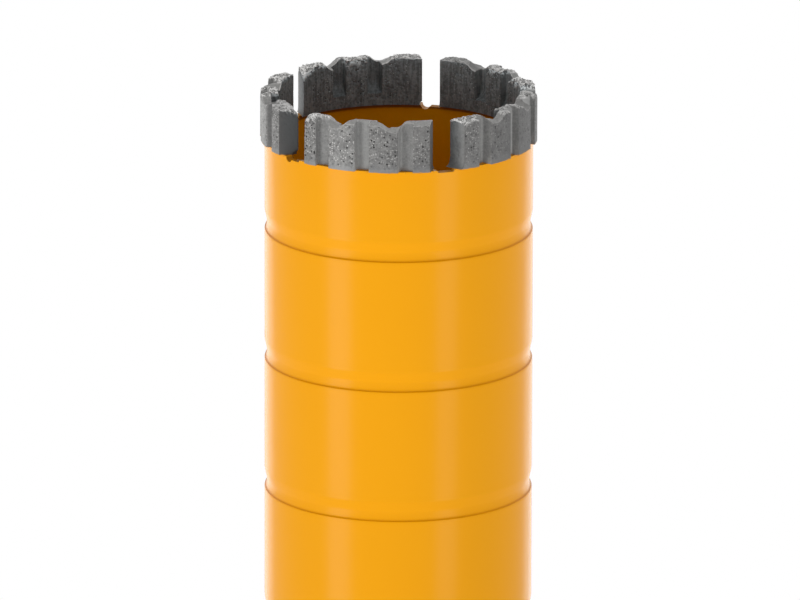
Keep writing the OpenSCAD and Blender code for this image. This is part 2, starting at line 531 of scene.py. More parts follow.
@dataclass(frozen=True)
class Sinter:
    """Sintered metal powder with diamond grains, on a smooth foot.

    Each mask says at which numbers it starts and where it is full.
    """

    dark: Colour = (0.13, 0.128, 0.125)
    pale: Colour = (0.275, 0.272, 0.265)
    # Smooth metal of the flute floors and end strips, made lighter as painted light against the
    # shade in the flutes.
    pressed_painted_light: Colour = (0.31, 0.31, 0.305)
    foot: Colour = (0.235, 0.243, 0.248)
    # Darker grey for painted shade on the end faces and where the shade mark is above 0.
    deep: Colour = (0.1, 0.099, 0.098)
    # Lighter grey for painted light where the shade mark is below 0.
    light: Colour = (0.55, 0.55, 0.54)
    pit_shade: Colour = (0.02, 0.02, 0.019)
    grain: Colour = (0.5, 0.49, 0.475)
    plane: Colour = (0.37, 0.365, 0.355)
    crest: Colour = (0.54, 0.535, 0.525)
    torn_dark: Colour = (0.14, 0.138, 0.132)
    # Near-white torn threads, bright as painted glints, also the colour of the painted highlight
    # along the top's inner edge.
    fibre_glint: Colour = (0.85, 0.84, 0.825)
    # Painted shade: cooler, darker tint that the inner faces are multiplied by.
    inside: Colour = (0.85, 0.93, 0.97)
    paint: Colour = (0.6, 0.29, 0.03)
    pit_size: float = 0.6 * MM
    pit_crowd: float = 3.5 * MM
    pit_reach: Pair = (0.42, 0.22)
    pit_chance: Pair = (0.83, 0.87)
    grain_size: float = 0.42 * MM
    grain_crowd: float = 4.5 * MM
    grain_reach: Pair = (0.45, 0.25)
    grain_chance: Pair = (0.36, 0.42)
    crowding: float = 0.6
    crowd_mask: Pair = (0.42, 0.6)
    grey_mask: Pair = (0.28, 0.74)
    wild_mask: Pair = (0.55, 0.85)
    torn_mask: Pair = (0.1, 1.3)
    plane_mask: Pair = (0.3, 0.7)
    crest_mask: Pair = (0.35, 0.6)
    lip_highlight_mask: Pair = (0.25, 0.5)
    threads: tuple[float, ...] = (1.6 * MM, 2.5 * MM)
    thread_mask: Pair = (0.0026, 0.0005)
    cloud: float = 3 * MM
    patch: float = 2.4 * MM
    mottle: float = 0.55 * MM
    fine: float = 0.31 * MM
    streak: float = 0.6 * MM
    streak_length: Point = (1.0, 1.0, 0.15)
    bare: float = 1.3 * MM
    bare_fade: float = 0.9 * MM
    bare_wave: float = 3 * MM
    bare_ripple: float = 1.2 * MM
    creep: float = 0.5 * MM
    foot_cover: float = 0.4
    grain_cover: float = 0.75
    pit_cover: float = 0.9
    lip_highlight_cover: float = 0.8
    creep_cover: float = 0.8
    metallic: float = 0.15
    crest_metallic: float = 0.4
    gloss: float = 0.35
    roughness: float = 0.6
    crest_polish: float = 0.15
    grain_polish: float = 0.25
    relief: float = 0.12 * MM
    relief_strength: float = 0.6
    fine_rise: float = 0.35
    grain_rise: float = 0.5
    fibre_rise: float = 0.5

    def pits(self, graph: Graph, place: Value) -> Value:
        """Where a grain has fallen out, from 0 to 1.

        Args:
            graph: Shader or geometry tree that reads it.
            place: Wrapped coordinates.

        Returns:
            The wrapped mask.
        """
        reach, chance = graph.cells(place, self.pit_size)
        chance = chance + graph.noise(place, self.pit_crowd, 1.0) * self.crowding
        return graph.between(reach, *self.pit_reach) * graph.between(chance, *self.pit_chance)

    def grains(self, graph: Graph, place: Value) -> Value:
        """Where a grain stands out, from 0 to 1.

        Args:
            graph: Shader or geometry tree that reads it.
            place: Wrapped coordinates.

        Returns:
            The wrapped mask.
        """
        reach, chance = graph.cells(place, self.grain_size)
        chance = chance - graph.noise(place, self.grain_crowd, 1.0) * self.crowding
        near = graph.between(reach, *self.grain_reach)
        return near * graph.between(chance, *self.grain_chance)

    def fibres(self, graph: Graph, place: Value) -> Value:
        """Thin curly threads of torn metal, from 0 to 1.

        Args:
            graph: Tree that reads it.
            place: Wrapped coordinates.

        Returns:
            The wrapped mask.
        """
        lines = []
        for size in self.threads:
            thread = graph.noise(place, size, 2.0, 0.35) - 0.5
            lines.append(graph.between(thread * thread, *self.thread_mask))
        return graph.math(Op.MAXIMUM, *lines)

    def material(self, name: str, rim: float) -> bpy.types.Material:
        """Grey metal, with pits and grains where the mesh says that it holds diamond, and painted
        shade, light and highlights where its marks say.

        Args:
            name: Name of the material.
            rim: Height of the segments' lower side.

        Returns:
            The new material.
        """
        skin = Surface(name, Specular_IOR_Level=self.gloss)
        keys = ("grit", "crest", "torn", "end", "within", "tone_and_shade", "lip")
        grit, crest, torn, end, within, tone_and_shade, lip = map(skin.attribute, keys)
        body, outer = 1.0 - crest, 1.0 - within
        cloud = skin.noise(skin.place, self.cloud, 2.0)
        patch = skin.noise(skin.place, self.patch, 2.0)
        mottle = skin.noise(skin.place, self.mottle, 3.0, 0.65)
        fine = skin.noise(skin.place, self.fine, 3.0, 0.6)
        drawn = skin.scaled(skin.place, self.streak_length)
        streak = skin.noise(drawn, self.streak, 2.0, 0.6)

        # Where the foot stays plain, and where paint has crept up it.
        height = skin.axes(skin.place)[2] - rim
        edge = height + (cloud - 0.5) * self.bare_wave + (mottle - 0.5) * self.bare_ripple
        fade = (self.bare + self.bare_fade, self.bare - self.bare_fade)
        plain = skin.between(edge, *fade) * outer
        wave = height + (cloud - 0.5) * 1.6 * self.creep + (mottle - 0.5) * self.creep
        creep = skin.between(wave, 0.4 * self.creep, 0.0)

        # Pits and grains in what holds diamond, and threads where the top is torn.
        crowd = skin.between(patch, *self.crowd_mask)
        held = grit * (1.0 - plain) * (1.0 - within * (1.0 - crowd))
        pits = self.pits(skin, skin.place) * held
        grains = self.grains(skin, skin.place) * held
        wild = skin.between(patch * 0.9 + torn * 0.6, *self.wild_mask)
        reach = skin.between(torn, *self.torn_mask) * (1.0 + within)
        reach = skin.math(Op.MINIMUM, reach, 1.0)
        fibres = self.fibres(skin, skin.place) * wild * reach

        # The bare metal, and then what lies over it, from the bottom up, with painted shade,
        # painted light and painted highlights among the layers.
        grey = mottle + (cloud - 0.5) * 0.5 + (streak - 0.5) * (within * 0.9 + 0.1)
        metal = skin.mix(skin.between(grey, *self.grey_mask), self.dark, self.pale)
        rough = skin.math(Op.MINIMUM, grit * 1.3, 1.0)
        rough = skin.math(Op.MAXIMUM, rough, within * 0.4 + 0.6)
        smooth = skin.mix(skin.between(mottle, *self.plane_mask), self.pale, self.plane)
        ragged = skin.mix(skin.between(fine, *self.crest_mask), self.torn_dark, self.crest)
        layers = (
            (plain * self.foot_cover, self.foot),
            (grains * self.grain_cover, self.grain),
            # Pits: near-black painted shade in the holes that grains left.
            (pits * self.pit_cover, self.pit_shade),
            # Painted shade on the end faces, end by end, over their darker metal.
            (end * body, self.deep),
            (skin.math(Op.MINIMUM, crest * 1.1, 1.0), skin.mix(wild, smooth, ragged)),
            # Torn threads, painted near white as glints.
            (fibres, self.fibre_glint),
            # Painted highlight: a near-white rim along the top's inner edge.
            (lip * skin.between(mottle, *self.lip_highlight_mask) * self.lip_highlight_cover, self.fibre_glint),
            # Painted shade and light, with some uneven sinter colour: darker where the shade mark
            # is above 0, lighter below 0.
            (tone_and_shade, self.deep),
            (0.0 - tone_and_shade, self.light),
        )
        # Flute floors and end strips: smooth metal, lightened as painted light.
        colour = skin.mix(rough, self.pressed_painted_light, metal)
        for share, layer in layers:
            colour = skin.mix(share, colour, layer)
        # Painted shade: inner faces cooler and darker.
        colour = skin.mix(within * body, colour, self.inside, "MULTIPLY")
        colour = skin.mix(creep * self.creep_cover * outer, colour, self.paint)
        skin.feed("Base Color", colour)
        skin.feed("Metallic", crest * self.crest_metallic + self.metallic)
        dull = self.roughness - crest * self.crest_polish - grains * self.grain_polish
        skin.feed("Roughness", dull)
        bumps = fine * self.fine_rise + grains * self.grain_rise + fibres * self.fibre_rise - pits
        skin.bump(bumps, self.relief, self.relief_strength)
        return skin.material


class SinterSkin(Tool):
    """Roughens a smooth segment inwards: pits, uneven pads and a torn crest."""

    WAVE = 0.8 * MM
    TEAR = 0.65 * MM
    TEAR_MASK = (0.36, 0.7)
    PLAIN_WAVE = 0.15

    def __init__(self, sinter: Sinter) -> None:
        """Makes the tree.

        Args:
            sinter: Finish that says where the pits and the grains are.
        """
        depths = {"Pit_Depth": 0.18 * MM, "Pad_Relief": 0.09 * MM, "Crest_Relief": 0.42 * MM}
        super().__init__("sinter skin", **depths)
        grit, torn = self.named("grit"), self.named("torn")
        pits = sinter.pits(self, self.place) * grit * self.inputs["Pit Depth"]
        waves = self.noise(self.place, self.WAVE, 3.0, 0.6)
        rough = grit * (1 - self.PLAIN_WAVE) + self.PLAIN_WAVE
        pads = rough * self.inputs["Pad Relief"] * waves
        tears = self.noise(self.place, self.TEAR, 3.0, 0.7)
        crests = self.between(tears, *self.TEAR_MASK) * torn * self.inputs["Crest Relief"]
        depth = 0.0 - (pits + pads + crests)
        normal = self.value("GeometryNodeInputNormal")
        sockets = {"Vector": normal, "Scale": depth}
        offset = self.value("ShaderNodeVectorMath", {"operation": "SCALE"}, sockets)
        sockets = {"Geometry": self.inputs["Geometry"], "Offset": offset}
        self.close(self.value("GeometryNodeSetPosition", None, sockets))

    def named(self, name: str) -> Value:
        """Number that the mesh stores under a name."""
        return self.value("GeometryNodeInputNamedAttribute", {"data_type": "FLOAT"}, {0: name})


@dataclass
class Crown:
    """Ring of five sintered segments, with a water slot after each."""

    rim: float
    top: float
    outer_r: float
    inner_r: float = 27 * MM
    web: float = 2 * MM
    flute_w: float = 3.1 * MM
    foot: float = 2.8 * MM
    valley_w: float = 7 * MM
    valley_depth: float = 1.5 * MM
    valley_round: float = 0.55
    ridge_at: float = 0.4
    top_fall: float = 11.0
    slot_w: float = 4.1 * MM
    slot_flare: float = 30.0
    slot_sink: float = 0.5 * MM
    notch_r: float = 1.1 * MM
    notch_at: float = 0.4
    proud: float = 1 * MM
    count: int = 5
    first_at: float = -15.45

    def __post_init__(self) -> None:
        """Works out what follows from the sizes."""
        self.share = 360 / self.count
        self.flute_pitch = self.share / 4
        self.valley_off = self.share / 6
        self.height = self.top - self.rim
        self.width = self.outer_r - self.inner_r
        self.relief = self.width - self.web
        self.ridge_r = self.inner_r + self.ridge_at * self.width
        half, depth = self.valley_w / 2, self.valley_depth
        self.arc_sum = (half**2 + depth**2) / (2 * depth)
        self.valley_r = self.valley_round * self.arc_sum

    @classmethod
    def from_frame(cls) -> "Crown":
        """Crown with the place and the radius of its nodes.

        Returns:
            The crown.
        """
        tops = [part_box(f"diamond_segment_{i + 1}")[1].z for i in range(cls.count)]
        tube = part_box("barrel_tube")[1]
        return cls(rim=tube.z, top=max(tops), outer_r=tube.x + cls.proud)

    def slot_angles(self) -> list[float]:
        """Angle of each water slot's middle from -Y."""
        return [self.first_at + (i + 0.5) * self.share for i in range(self.count)]

    def notches(self) -> list[Pair]:
        """Angle of each notched slot, and how far the notch is from the slot's middle."""
        off, slots = self.notch_at * self.slot_w, self.slot_angles()
        return [(slots[2], off), (slots[4], -off)]

    def sink(self, turn: float, radius: float) -> float:
        """Depth of the slots' round bottoms and of the notches below the rim.

        Args:
            turn: Angle from -Y.
            radius: Distance from the axis.

        Returns:
            Depth at that place, or 0.
        """
        depth = 0.0
        for middle in self.slot_angles():
            past = abs(self.sideways(turn - middle, radius)) - self.slot_w / 2 + self.slot_sink
            if past < self.slot_sink:
                depth = max(depth, math.sqrt(self.slot_sink**2 - max(0.0, past) ** 2))
        for middle, place in self.notches():
            off = self.sideways(turn - middle, radius) - place
            if abs(off) < self.notch_r:
                depth = max(depth, math.sqrt(self.notch_r**2 - off**2))
        return depth

    @staticmethod
    def sideways(angle: float, radius: float) -> float:
        """Distance from the plane through the axis at an angle.

        Args:
            angle: Angle from that plane, of any size.
            radius: Distance from the axis.

        Returns:
            Signed distance, or the whole radius where the angle is past 30 degrees.
        """
        near = (angle + 180) % 360 - 180
        if abs(near) > 30:
            return math.copysign(radius, near)
        return radius * math.sin(math.radians(near))

    def slot_half(self, radius: float) -> float:
        """Half the width of a water slot, which flares outwards.

        Args:
            radius: Distance from the axis.

        Returns:
            Half the width there.
        """
        flare = math.tan(math.radians(self.slot_flare))
        half = wide = self.slot_w / 2
        for _ in range(4):  # the width settles in a few rounds
            out = math.sqrt(radius**2 - wide**2) - self.inner_r
            wide = half + max(0.0, out) * flare
        return wide

    def crest(self, angle: float, radius: float) -> float:
        """Height of a segment's top above the rim, with its ridge and its valleys."""
        fall = abs(radius - self.ridge_r) * math.tan(math.radians(self.top_fall))
        return self.height - fall - self.dip(angle, radius)

    def dip(self, angle: float, radius: float) -> float:
        """Depth of the two valleys in a segment's top.

        Args:
            angle: Angle from the segment's middle.
            radius: Distance from the axis.

        Returns:
            Depth there, or 0 on a pad.
        """
        ways = (-self.valley_off, self.valley_off)
        off = min(abs(self.sideways(angle - way, radius)) for way in ways)
        half, depth = self.valley_w / 2, self.valley_depth
        shoulder = self.arc_sum - self.valley_r
        if off >= half:
            return 0.0
        if off < half * self.valley_r / self.arc_sum:
            return depth - self.valley_r + math.sqrt(self.valley_r**2 - off**2)
        return shoulder - math.sqrt(max(0.0, shoulder**2 - (half - off) ** 2))


@dataclass
class Station:
    """Line across a segment's wall, from its back inside to its front outside.

    Side is its distance from the segment's middle, and share how far along the end strip it is,
    below 0 at the low end. Wall is 1 halfway up the wall of an outer flute.
    """

    side: float
    back: float
    front: float
    share: float = 0.0
    wall: float = 0.0

    def mirrored(self) -> "Station":
        """The same line on the other side of the segment's middle."""
        return Station(-self.side, self.back, self.front, -self.share, self.wall)


@dataclass
class Spot:
    """Point of a segment, the top's height over it, and whether it is on the rounded top."""

    station: Station
    part: float
    radius: float
    angle: float
    height: float
    peak: float
    on_top: bool

    def near(self, band: float) -> float:
        """Nearness to the top, from 0 at the foot of a band to 1."""
        return min(1.0, max(0.0, 1 - (self.peak - self.height) / band))


@dataclass
class End:
    """One end of a segment: the toe at its foot, what is worn off it, and how dark it is, in
    painted shade set end by end on top of the ends' darker metal.
    """

    toe: float = 0.0
    worn: float = 0.0
    shade: float = 0.6
    chip_in: float = 0.0
    chip_out: float = 0.0
    reach: float = 2.6 * MM

    def chip(self, off: float, part: float) -> float:
        """Depth that the top has lost at a distance from the end and a share of the wall."""
        share = max(0.0, 1 - off / self.reach)
        return (self.chip_in + part * (self.chip_out - self.chip_in)) * share**1.5


@dataclass
class Segment:
    """One sintered segment, as a thick ribbon of stations bent round the axis.

    Its profiles give a number by the angle from its middle: how much grit shows, how torn the
    top is, how many mm the torn metal hangs down, and how much darker, or below 0 lighter, the
    pads, the outer flutes' floors, the hollows inside and the top are, as painted shade and light
    set by how the light falls on each segment, with some uneven sinter colour. Walls does so for
    the low and the high side of the outer flutes.
    """

    crown: Crown
    number: int
    low: End = field(default_factory=End)
    high: End = field(default_factory=End)
    grit: Profile = ((0, 1.0),)
    torn: Profile = ((0, 0.7),)
    hang: Profile = ((0, 1.0),)
    pads: Profile = ((0, 0.0),)
    flutes: Profile = ((0, 0.0),)
    walls: Pair = (0.3, 0.35)
    hollows: Profile = ((0, 0.0),)
    tops: Profile = ((0, 0.0),)
    deeper: float = 0.0
    deeper_half: float = 1.6 * MM
    drift: float = 0.0
    drift_at: float = 14.0
    drift_half: float = 6.0
    toe_h: float = 1.2 * MM
    step: float = 0.21 * MM
    wall_lean: float = 0.02 * MM
    floor_round: float = 0.35 * MM
    edge_round: float = 0.18 * MM
    run_out: float = 3.2 * MM
    top_round: float = 0.3 * MM
    top_shares: tuple[float, ...] = (0.0, 0.15, 0.45, 1.0)
    pad_band: float = 0.35 * MM
    crest_band: float = 0.6 * MM
    foot_band: float = 1.8 * MM
    flute_grit: float = 0.15
    strip_rough: float = 0.1
    strip_in: float = 0.25
    crest_edge: float = 0.7
    valley_fall: float = 1.7
    run_out_shade: float = 0.3
    run_out_fade: float = 1.5
    lip_highlight_share: float = 0.08
    bottom_rows: int = 5
    sharp: float = 50.0
    points: list[Point] = field(default_factory=list)
    marks: dict[str, list[float]] = field(default_factory=dict)

    def __post_init__(self) -> None:
        """Works out the rows and the plan."""
        crown = self.crown
        self.middle = crown.first_at + (self.number - 1) * crown.share
        foot = round(crown.foot / self.step)
        above = round((crown.height - crown.foot) / self.step)
        self.levels = [(crown.foot * i / foot, 0.0) for i in range(foot)]
        self.levels += [(crown.foot, i / above) for i in range(above + 1)]
        edge = [self.top_round * share / crown.width for share in self.top_shares]
        count = round((1 - 2 * edge[-1]) * crown.width / self.step)
        run = [edge[-1] + (1 - 2 * edge[-1]) * i / count for i in range(1, count)]
        self.across = edge + run + [1 - share for share in reversed(edge)]
        self.plan = list(self._plan())
        self.outline = self._outline()

    def _wall(self) -> list[Pair]:
        """Places round a flute's wall.

        Returns:
            Distance towards the pad, and share of the flute's depth, of each.
        """
        lean, low, edge = self.wall_lean, self.floor_round, self.edge_round
        high = self.crown.relief - edge
        turns = [math.radians(turn) for turn in (0, 30, 60, 90)]
        quarter = [(math.sin(turn), math.cos(turn)) for turn in turns]
        steps = [(-lean - low * (1 - s), low * (1 - c)) for s, c in quarter]
        for share in (0.17, 0.33, 0.5, 0.67, 0.83):
            steps.append((lean * (2 * share - 1), low + (high - low) * share))
        steps += [(lean + edge * (1 - c), high + edge * s) for s, c in quarter]
        return [(place, height / self.crown.relief) for place, height in steps]

    def _half(self) -> list[Station]:
        """Stations from the segment's middle to where its end strip starts.

        Returns:
            The stations.
        """
        crown, half = self.crown, self.crown.flute_w / 2
        pitch = math.radians(crown.flute_pitch)
        inn = crown.inner_r * math.sin(pitch / 2)
        out = crown.outer_r * math.sin(pitch)
        walls = [
            (half, 1, True),
            (inn - half, -1, False),
            (inn + half, 1, False),
            (out - half, -1, True),
            (out + half, 1, True),
        ]
        back_floor = crown.inner_r * math.cos(pitch / 2) + crown.relief
        floors = (crown.outer_r - crown.relief, crown.outer_r * math.cos(pitch) - crown.relief)
        outer, inner = 0.0, 1.0
        found = [(0.0, inner, outer)]
        for wall, way, outside in walls:
            steps = sorted((wall + way * place, share) for place, share in self._wall())
            last = found[-1][0]
            gap = steps[0][0] - last
            count = max(1, math.ceil(gap / self.step))
            found += [(last + gap * i / count, inner, outer) for i in range(1, count)]
            for side, share in steps:
                outer, inner = (share, inner) if outside else (outer, share)
                found.append((side, inner, outer))
        stations = []
        for side, inner, outer in found:
            front_floor = floors[0] if side < out / 2 else floors[1]
            back, front = (math.sqrt(r**2 - side**2) for r in (crown.inner_r, crown.outer_r))
            back = back_floor + inner * (back - back_floor)
            front = front_floor + outer * (front - front_floor)
            stations.append(Station(side, back, front, wall=min(1.0, 8 * outer * (1 - outer))))
        return stations

    def _plan(self) -> Iterator[Station]:
        """Stations of the whole ribbon, from its low end to its high end.

        Returns:
            The stations, one by one.
        """
        crown = self.crown
        half = self._half()
        self.strip_at = half[-1].side
        start = math.degrees(math.asin(self.strip_at / crown.inner_r))
        run = self.end_angle(crown.inner_r, crown.foot, 1) - start
        length = math.radians(run) * crown.inner_r
        count = math.ceil(length / self.step)
        shares = [(i + 1) / count for i in range(count)]
        shares[-2:] = [1 - self.top_round * t / length for t in reversed(self.top_shares)]
        half += [Station(self.strip_at, 0.0, 0.0, share) for share in shares]
        yield from (station.mirrored() for station in reversed(half[1:]))
        yield from half

    def _outline(self) -> np.ndarray:
        """Outline of the top in the plan.

        Returns:
            Points round a loop.
        """
        loop = []
        for way, part in ((1, 1.0), (-1, 0.0)):
            for station in self.plan[::way]:
                radius, angle = self.place(station, part, self.crown.height)
                loop.append(polar(radius, angle, 0.0)[:2])
        return np.array(loop)

    def place(self, station: Station, part: float, height: float) -> Pair:
        """Place on a station's line, which slides along the end strip with radius and height.

        Args:
            station: The line.
            part: Share of the way from the inside to the outside.
            height: Height above the rim.

        Returns:
            Distance from the axis, and angle from the segment's middle.
        """
        crown = self.crown
        if station.share == 0:
            plain = math.sqrt(crown.inner_r**2 - station.side**2)
            rise = min(1.0, max(0.0, (height - crown.foot) / self.run_out))
            back = plain + (station.back - plain) * math.sqrt(1 - (1 - rise) ** 2)
            out = back + part * (station.front - back)
            return math.hypot(out, station.side), math.degrees(math.atan2(station.side, out))
        radius = crown.inner_r + part * crown.width
        low = math.degrees(math.asin(self.strip_at / radius))
        way = math.copysign(1, station.share)
        high = self.end_angle(radius, height, way)
        return radius, way * (low + abs(station.share) * (high - low))

    def end_angle(self, radius: float, height: float, way: float) -> float:
        """Angle from the segment's middle to one of its ends, with its toe and its notch.

        Args:
            radius: Distance from the axis.
            height: Height above the rim.
            way: 1 for the high end and -1 for the low one.

        Returns:
            The angle, without its sign.
        """
        crown, end = self.crown, self.high if way > 0 else self.low
        half = crown.slot_half(radius)
        half += end.worn * (radius - crown.inner_r) / crown.width
        rise = min(1.0, height / (self.toe_h * (1 + end.toe / MM)))
        half -= end.toe * (1 - math.sqrt(1 - (1 - rise) ** 2)) if rise < 1 else 0.0
        slot = self.middle + way * crown.share / 2
        for middle, off in crown.notches():
            same = abs(crown.sideways(slot - middle, 1.0)) < 0.01
            if same and off * way < 0 and height < crown.notch_r:
                half = max(half, abs(off) + math.sqrt(crown.notch_r**2 - height**2))
        return crown.share / 2 - math.degrees(math.asin(half / radius))

    def margin(self, radius: float, angle: float) -> float:
        """Distance of a place on the top from the outline.

        Args:
            radius: Distance from the axis.
            angle: Angle from the segment's middle.

        Returns:
            Distance to the nearest edge, in the plan.
        """
        here = np.array(polar(radius, angle, 0.0)[:2])
        start = self.outline
        run = np.roll(start, -1, axis=0) - start
        length = np.maximum((run**2).sum(1), 1e-18)
        share = np.clip(((here - start) * run).sum(1) / length, 0, 1)
        return float(np.sqrt(((start + share[:, None] * run - here) ** 2).sum(1).min()))

    def peak(self, radius: float, angle: float) -> float:
        """Height of the top above the rim, with what is worn off it.

        Args:
            radius: Distance from the axis.
            angle: Angle from the segment's middle.

        Returns:
            The height.
        """
        crown, way = self.crown, math.copysign(1, angle)
        side = crown.sideways(angle - crown.valley_off, radius)
        off = math.radians(self.end_angle(radius, crown.height, way) - abs(angle)) * radius
        part = (radius - crown.inner_r) / crown.width
        lost = (self.high if way > 0 else self.low).chip(max(0.0, off), part)
        lost += self.deeper * math.exp(-((side / self.deeper_half) ** 2))
        angle -= self.drift * math.exp(-(((angle - self.drift_at) / self.drift_half) ** 2))
        return crown.crest(angle, radius) - lost

    def put(self, station: Station, part: float, level: Pair | None) -> int:
        """Adds a point, with marks for what is there.

        Args:
            station: Line that the point is on.
            part: Share of the way from the inside to the outside.
            level: Height, and share of what is above it, or None on the top.

        Returns:
            Number of the point.
        """
        crown = self.crown
        radius, angle = self.place(station, part, crown.height)
        peak = self.peak(radius, angle)
        if level is None:
            inside = max(0.0, self.top_round - self.margin(radius, angle))
            height = peak - self.top_round + math.sqrt(self.top_round**2 - inside**2)
        else:
            base, rise = level
            height = base + rise * (peak - self.top_round - base)
            radius, angle = self.place(station, part, height)
        self.points.append(polar(radius, self.middle + angle, crown.rim + height))
        spot = Spot(station, part, radius, angle, height, peak, level is None)
        for name, value in self.wear(spot).items():
            self.marks.setdefault(name, []).append(value)
        return len(self.points) - 1

    def wear(self, spot: Spot) -> dict[str, float]:
        """Numbers that the finish reads at a point.

        Args:
            spot: The point.

        Returns:
            Number of each mark, by its name.
        """
        crown, part, angle, share = self.crown, spot.part, spot.angle, spot.station.share
        grit, torn, hang = (self.along(p, angle) for p in (self.grit, self.torn, self.hang))
        pads, floor = self.along(self.pads, angle), self.along(self.flutes, angle)
        hollow, tops = self.along(self.hollows, angle), self.along(self.tops, angle)
        proud = max(crown.inner_r - spot.radius, spot.radius - crown.outer_r)
        pad = min(1.0, max(0.0, proud / self.pad_band + 1))
        strip = abs(share) == 1 or (share and part < self.strip_in)
        rough = self.flute_grit + (1 - self.flute_grit) * (self.strip_rough if strip else pad)
        near = 1.0 if spot.on_top else spot.near(hang * MM)
        crest = 1.0 if spot.on_top else self.crest_edge * spot.near(self.crest_band) ** 2
        dip = crown.dip(angle, spot.radius) / crown.valley_depth
        bump = max(0.0, 1 - self.valley_fall * dip)
        # Painted shade and light with some uneven sinter colour: pads, outer flute floors and each
        # side's flute walls darker or lighter by how the light falls, inner hollows likewise, and
        # inner flute floors darker near their lower ends.
        nearest = crown.flute_pitch * round(angle / crown.flute_pitch)
        wall = self.walls[angle > nearest]
        outside = pad * pads + (1 - pad) * (floor + (wall - floor) * spot.station.wall)
        above = max(0.0, 1 - (spot.height - crown.foot) / (self.run_out_fade * self.run_out))
        within = (1 - pad) * (hollow + self.run_out_shade * above)
        tone_and_shade = part * outside + (1 - part) * within
        return {
            "grit": rough * min(1.0, spot.height / self.foot_band) * grit,
            "crest": crest,
            "torn": near * bump * torn,
            # Painted shade on the end faces, with their darker metal.
            "end": (self.high if share > 0 else self.low).shade if abs(share) == 1 else 0.0,
            "within": 1 - part,
            # Painted highlight along the top's inner edge.
            "lip": max(0.0, 1 - part / self.lip_highlight_share) if spot.on_top else 0.0,
            "tone_and_shade": tone_and_shade + (tops - tone_and_shade) * crest,
        }

    @staticmethod
    def along(profile: Profile, angle: float) -> float:
        """Number at an angle, from a profile of angles and numbers."""
        return float(np.interp(angle, *zip(*profile)))

    def ring(self, station: Station) -> list[int]:
        """Points round the ribbon at a station: inner wall, top, outer wall and bottom.

        Args:
            station: Line across the wall.

        Returns:
            Numbers of the points, in order.
        """
        up = [self.put(station, 0.0, level) for level in self.levels]
        top = [self.put(station, part, None) for part in self.across[1:-1]]
        down = [self.put(station, 1.0, level) for level in reversed(self.levels)]
        parts = [1 - i / self.bottom_rows for i in range(1, self.bottom_rows)]
        return up + top + down + [self.put(station, part, (0.0, 0.0)) for part in parts]

    def cap(self, ring: list[int], station: Station) -> list[list[int]]:
        """Faces that close an end, with new points inside it.

        Args:
            ring: Points round the end.
            station: Line across the wall at the end.

        Returns:
            Faces that look towards the high end.
        """
        rows, tops = len(self.levels), len(self.across)
        up, top = ring[:rows], ring[rows - 1 : rows + tops - 1]
        down = ring[rows + tops - 2 : 2 * rows + tops - 2][::-1]
        columns = [up]
        for i, part in enumerate(self.across[1:-1]):
            inner = [self.put(station, part, level) for level in self.levels[:-1]]
            columns.append(inner + [top[i + 1]])
        return bridged([*columns, down], closed=False)

    def mesh(self) -> bpy.types.Mesh:
        """Closed mesh of the ribbon, which stores each point's marks.

        Returns:
            The new mesh.
        """
        self.points, self.marks = [], {}
        rings = [self.ring(station) for station in self.plan]
        faces = bridged(rings)
        faces += [face[::-1] for face in self.cap(rings[0], self.plan[0])]
        faces += self.cap(rings[-1], self.plan[-1])
        mesh = new_mesh(f"segment_{self.number}", self.points, faces)
        for name, values in self.marks.items():
            mesh.attributes.new(name, "FLOAT", "POINT").data.foreach_set("value", values)
        return mesh

    def build(self, skin: SinterSkin, finish: bpy.types.Material) -> None:
        """Makes the segment and sets it in the place of its node.

        Args:
            skin: Tool that roughens it.
            finish: Its material.
        """
        piece = skin.run(f"segment_{self.number}", self.mesh(), finish)
        shade(piece.data, self.sharp)
        keep(piece, "segment_metal", f"diamond_segment_{self.number}")


